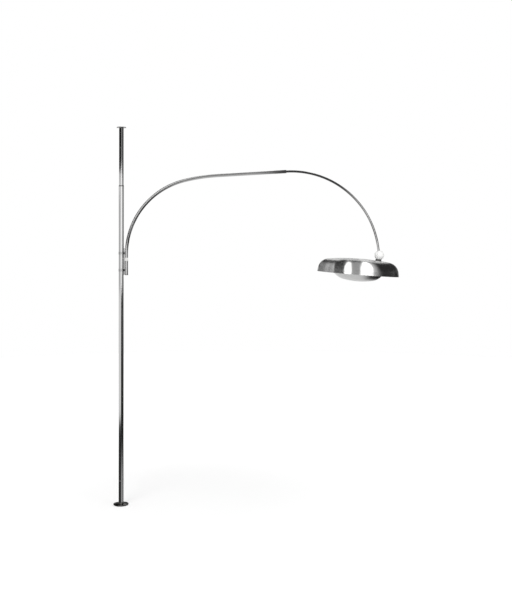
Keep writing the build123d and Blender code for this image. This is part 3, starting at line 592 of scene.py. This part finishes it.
def card(
    name, level, viewer, turns, tilts, soft, lean=(0.0, 0.0), centre=CARD_CENTRE, radius=CARD_RADIUS
):
    """Stand one card, in front of the cards before it; lean is how far its two sides move at LEAN_TILT."""

    def vector(wire, operation, first, second=(0.0, 0.0, 0.0)):
        return wire.make("ShaderNodeVectorMath", {"operation": operation}, {0: first, 1: second})

    def mask(wire):
        facing = vector(wire, "NORMALIZE", vector(wire, "SUBTRACT", place(wire), centre.tolist()))
        if viewer is not None:
            facing = vector(wire, "NORMALIZE", vector(wire, "ADD", facing, viewer.tolist()))
        axes = wire.make("ShaderNodeSeparateXYZ", None, {0: facing})
        turn = wire.math("ARCTAN2", axes.out("X"), 0.0 - axes.out("Y")) * DEGREES
        tilt = wire.math("ARCSINE", axes.out("Z")) * DEGREES
        rise = tilt * tilt * LEAN_TILT**-2
        left = fade(wire, turn - lean[0] * rise - turns[0], soft[0])
        right = fade(wire, turns[1] + lean[1] * rise - turn, soft[0])
        return left * right * fade(wire, tilt - tilts[0], soft[1]) * fade(wire, tilts[1] - tilt, soft[1])

    wide = (turns[0] - soft[0] / 2, turns[1] + soft[0] / 2)
    tall = (max(tilts[0] - soft[1] / 2, -STEEPEST), min(tilts[1] + soft[1] / 2, STEEPEST))
    spots = card_patch(viewer, wide, tall, centre, radius * (1 - CARD_STEP * len(cards)))
    stand_card(name, spots, glow_finish(name, level, mask))


# %% [markdown]
# On the shade's wall, from left to right, the photograph shows two greys, a dark band, a white stripe, a
# grey gap, a wider white stripe and a dark flank. Each is one card here. The last ones shape the shoulder,
# the right of the bowl and the foot of the flank.

# %% Cards that the shade shows
from_shade = np.array(camera.location) - np.array(RIM_CENTRE)
from_shade /= np.linalg.norm(from_shade)
card("right_flag", 0.035, from_shade, (21.5, 76), (2, 63), (16, 6))
card("far_left_grey", 0.30, from_shade, (-88, -57), (5, 45), (15, 4))
card("left_grey", 0.55, from_shade, (-57, -41.7), (5, 47), (13, 4))
card("band_flag", 0.09, from_shade, (-41.7, -17), (5, 60), (1.2, 4))
card("stripe_gap", 0.45, from_shade, (-16, 10), (3, 62), (1, 4))
card("shoulder_line", 0.03, from_shade, (-34, 26), (61, 75), (12, 4))
card("right_stripe", 2.4, from_shade, (-2.9, 16), (-0.8, 66), (1.2, 6), (11.0, 4.5))
card("left_stripe", 2.4, from_shade, (-25.8, -14.7), (5, 60), (1.6, 4), (8.0, 1.6))
card("shoulder_flag", 0.02, from_shade, (-88, -26), (41, 62), (10, 4))
card("under_right_flag", 0.01, from_shade, (12, 84), (-63, -3), (26, 12))
rim = np.array(RIM_CENTRE)
card("near_right_flag", 0.01, from_shade, (24, 66), (-12, 4.5), (14, 1.5), centre=rim, radius=2.0)
print("cards for the shade:", len(cards))

# %% [markdown]
# An upright tube shows the whole room squeezed into its width, so a wide flag is a thin line on it. What
# the pole shows at a given height stands at about that height over or under the camera's horizon: dark near
# the foot and near the top, and between them grey at both sides of a bright line.

# %% Cards that the pole shows
card("low_left_flag", 0.02, None, (-110, 8), (-24, -11), (10, 1))
card("low_right_flag", 0.03, None, (4, 96), (-40, -2.8), (6, 1))
card("low_right_glow", 0.45, None, (10, 96), (-24, -13.5), (8, 3))
card("right_grey", 0.66, None, (22, 118), (-2.8, 4.4), (12, 1))
card("top_left_flag", 0.01, None, (-176, 0), (4.78, 10), (6, 0.1))
card("top_right_flag", 0.12, None, (0, 176), (5, 10), (6, 1.6))
card("top_glow", 0.36, None, (0, 34), (5.3, 10), (5, 0.6))
card("left_dim", 0.66, None, (-130, -40), (-2.8, 3.2), (16, 1))
print("cards so far:", len(cards))

# %% [markdown]
# Round its ferrule the arm is almost black in the photograph, from something dark close by. A small dark
# sleeve does that here: it wraps the front of the arm a few centimetres off, so that only the arm is near
# enough to see it. The points of the inner tube that lie furthest forward are level with its axis, so they
# give the sleeve its path.

# %% Dark sleeve by the arm
SLEEVE_R = 0.045
SLEEVE_SPAN = (1.02, 1.62)
SLEEVE_FADE = 0.26
SLEEVE_WRAP = 100.0
SLEEVE_LEVEL = 0.10
FOREMOST = 0.999


def sleeve_spots(steps=60, around=25):
    """Sheet round a path c(x): c + R (forward cos v + below sin v), with below square to the path's run."""
    tube = nodes["inner_arm"].data.vertices
    points = np.empty(3 * len(tube))
    tube.foreach_get("co", points)
    points = points.reshape(-1, 3)
    points = points[points[:, 1] < FOREMOST * points[:, 1].min()]
    points = points[np.argsort(points[:, 0])]
    along = np.linspace(SLEEVE_SPAN[0] - SLEEVE_FADE / 2, SLEEVE_SPAN[1] + SLEEVE_FADE / 2, steps)
    path = np.stack([along, 0 * along, np.interp(along, points[:, 0], points[:, 2])], axis=1)
    run = np.gradient(path, axis=0)
    run /= np.linalg.norm(run, axis=1, keepdims=True)
    forward = np.array([0.0, -1.0, 0.0])
    below = np.cross(run, forward)
    spin = np.radians(np.linspace(-SLEEVE_WRAP, SLEEVE_WRAP, around))[None, :, None]
    return path[:, None, :] + SLEEVE_R * (np.cos(spin) * forward + np.sin(spin) * below[:, None, :])


def sleeve_mask(wire):
    """1 along the sleeve's span, fading out at both ends."""
    reach = wire.make("ShaderNodeSeparateXYZ", None, {0: place(wire)}).out("X")
    start = fade(wire, reach - SLEEVE_SPAN[0], SLEEVE_FADE)
    return start * fade(wire, SLEEVE_SPAN[1] - reach, SLEEVE_FADE)


stand_card("arm_sleeve", sleeve_spots(), glow_finish("arm_sleeve", SLEEVE_LEVEL, sleeve_mask))
print("cards for the metal:", len(cards))

# %% [markdown]
# The floor is pale and glows a little, as a lit studio sweep does. Near the lamp it glows less, so that the
# soft shadow stays on it, and further out more, so that it meets the white surround without a line. Mirrors
# look past it to the surround, and from below it is clear, so that the underside of the shade can be looked
# at. Two large softboxes give the ball, the pads and the inside of the shade their shape.

# %% Floor and lamps
FLOOR_CENTRE = (0.9, 0.0, -0.0005)
FLOOR_R = 9.0
SHADOW_CENTRE = (0.5, 0.0, 0.0)
SHADOW_R = 1.7
SHADOW_FADE = 2.6
NEAR_GLOW = (0.31, 0.31, 0.31, 1)
FAR_GLOW = (0.60, 0.60, 0.60, 1)
round_floor = np.linspace(0, 2 * pi, 96, endpoint=False)
flat_ring = np.stack([np.cos(round_floor), np.sin(round_floor), 0 * round_floor], axis=1)
ring = np.array(FLOOR_CENTRE) + FLOOR_R * flat_ring
floor_mesh = bpy.data.meshes.new("pale_floor")
floor_mesh.from_pydata(ring.tolist(), [], [list(range(len(ring)))])
floor = bpy.data.objects.new("pale_floor", floor_mesh)
bpy.context.scene.collection.objects.link(floor)
floor.visible_glossy = False


def floor_surface(wire):
    where = place(wire)
    mottle = cloudy(wire, where, 3.0)
    ends = {0: where, 1: SHADOW_CENTRE}
    reach = wire.make("ShaderNodeVectorMath", {"operation": "DISTANCE"}, ends, output=1)
    far = fade(wire, reach - SHADOW_R, SHADOW_FADE)
    return {
        "Base Color": mottle.blend((0.80, 0.80, 0.80, 1), (0.82, 0.82, 0.82, 1)),
        "Emission Color": far.blend(NEAR_GLOW, FAR_GLOW),
    }


floor_paint = finish("floor_paint", floor_surface, Roughness=0.9, Emission_Strength=1.0)
under = Wire(floor_paint.node_tree)
back = under.make("ShaderNodeNewGeometry").out("Backfacing")
painted = Wire(under.tree, under.tree.nodes["Principled BSDF"].outputs[0])
glassy = under.make("ShaderNodeBsdfTransparent")
one_sided = under.make("ShaderNodeMixShader", None, {0: back, 1: painted, 2: glassy})
under.tree.links.new(one_sided.socket, under.tree.nodes["Material Output"].inputs[0])
floor_mesh.materials.append(floor_paint)
LAMP_AIM = (1.0, 0.0, 1.4)
LAMP_SIZE = 2.5


def softbox(name, spot, power):
    """A square area lamp at spot that looks at LAMP_AIM."""
    lamp = bpy.data.lights.new(name, "AREA")
    lamp.size = LAMP_SIZE
    lamp.energy = power
    holder = bpy.data.objects.new(name, lamp)
    holder.location = spot
    away = np.subtract(spot, LAMP_AIM)
    flat = float(np.hypot(away[0], away[1]))
    holder.rotation_euler = (atan2(flat, away[2]), 0.0, atan2(away[0], -away[1]))
    holder.visible_glossy = False
    bpy.context.scene.collection.objects.link(holder)


softbox("key_softbox", (-1.5, -4.5, 4.5), 120.0)
softbox("fill_softbox", (4.5, -3.5, 3.0), 50.0)
print("floor and lamps set")
